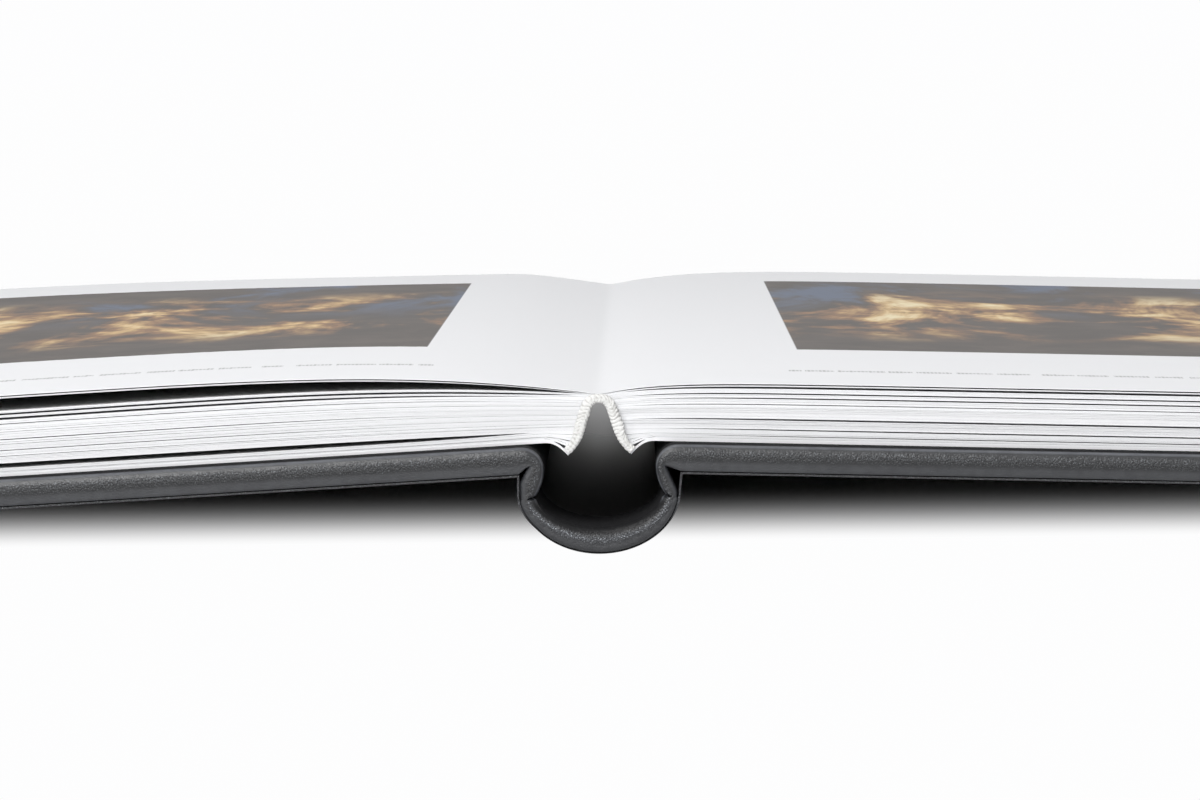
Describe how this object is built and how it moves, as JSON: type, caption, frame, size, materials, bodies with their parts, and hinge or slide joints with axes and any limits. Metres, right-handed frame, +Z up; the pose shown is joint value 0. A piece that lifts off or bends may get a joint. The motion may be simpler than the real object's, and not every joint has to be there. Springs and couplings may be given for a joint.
{
  "type": "open hardcover book",
  "caption": "Hardcover album lying open at its middle pages: fanned and tight leaves over hinged covers and a hollow trough spine.",
  "frame": {"origin": "on the table, under the middle of the spine, midway between the tail and head edges of the covers", "axes": "+X across both pages to the right-hand cover, +Y along the spine from tail to head, +Z up"},
  "size_m": [0.6254, 0.3, 0.0278],
  "materials": {
    "page_paper": "satin",
    "endpaper": "matte",
    "grey_leather": "satin",
    "cover_board": "matte",
    "spine_board": "matte",
    "lining_cloth": "matte",
    "band_thread": "matte"
  },
  "bodies": {
    "block": {"text_block": "page_paper", "back_lining": "lining_cloth", "headband": "band_thread", "tailband": "band_thread", "spine_leather": "grey_leather", "spine_strip": "spine_board", "left_free_endpaper": "endpaper", "right_free_endpaper": "endpaper"},
    "left_cover": {"left_board": "cover_board", "left_cover_leather": "grey_leather", "left_pastedown": "endpaper"},
    "right_cover": {"right_board": "cover_board", "right_cover_leather": "grey_leather", "right_pastedown": "endpaper"}
  },
  "joints": [
    {"name": "right_cover_hinge", "type": "hinge", "parent": "block", "child": "right_cover", "pos_m": [0.0128, 0, 0.0122], "axis": [0, 1, 0], "range_deg": [0, 90]},
    {"name": "left_cover_hinge", "type": "hinge", "parent": "block", "child": "left_cover", "pos_m": [-0.0128, 0, 0.0122], "axis": [0, -1, 0], "range_deg": [0, 90]}
  ]
}
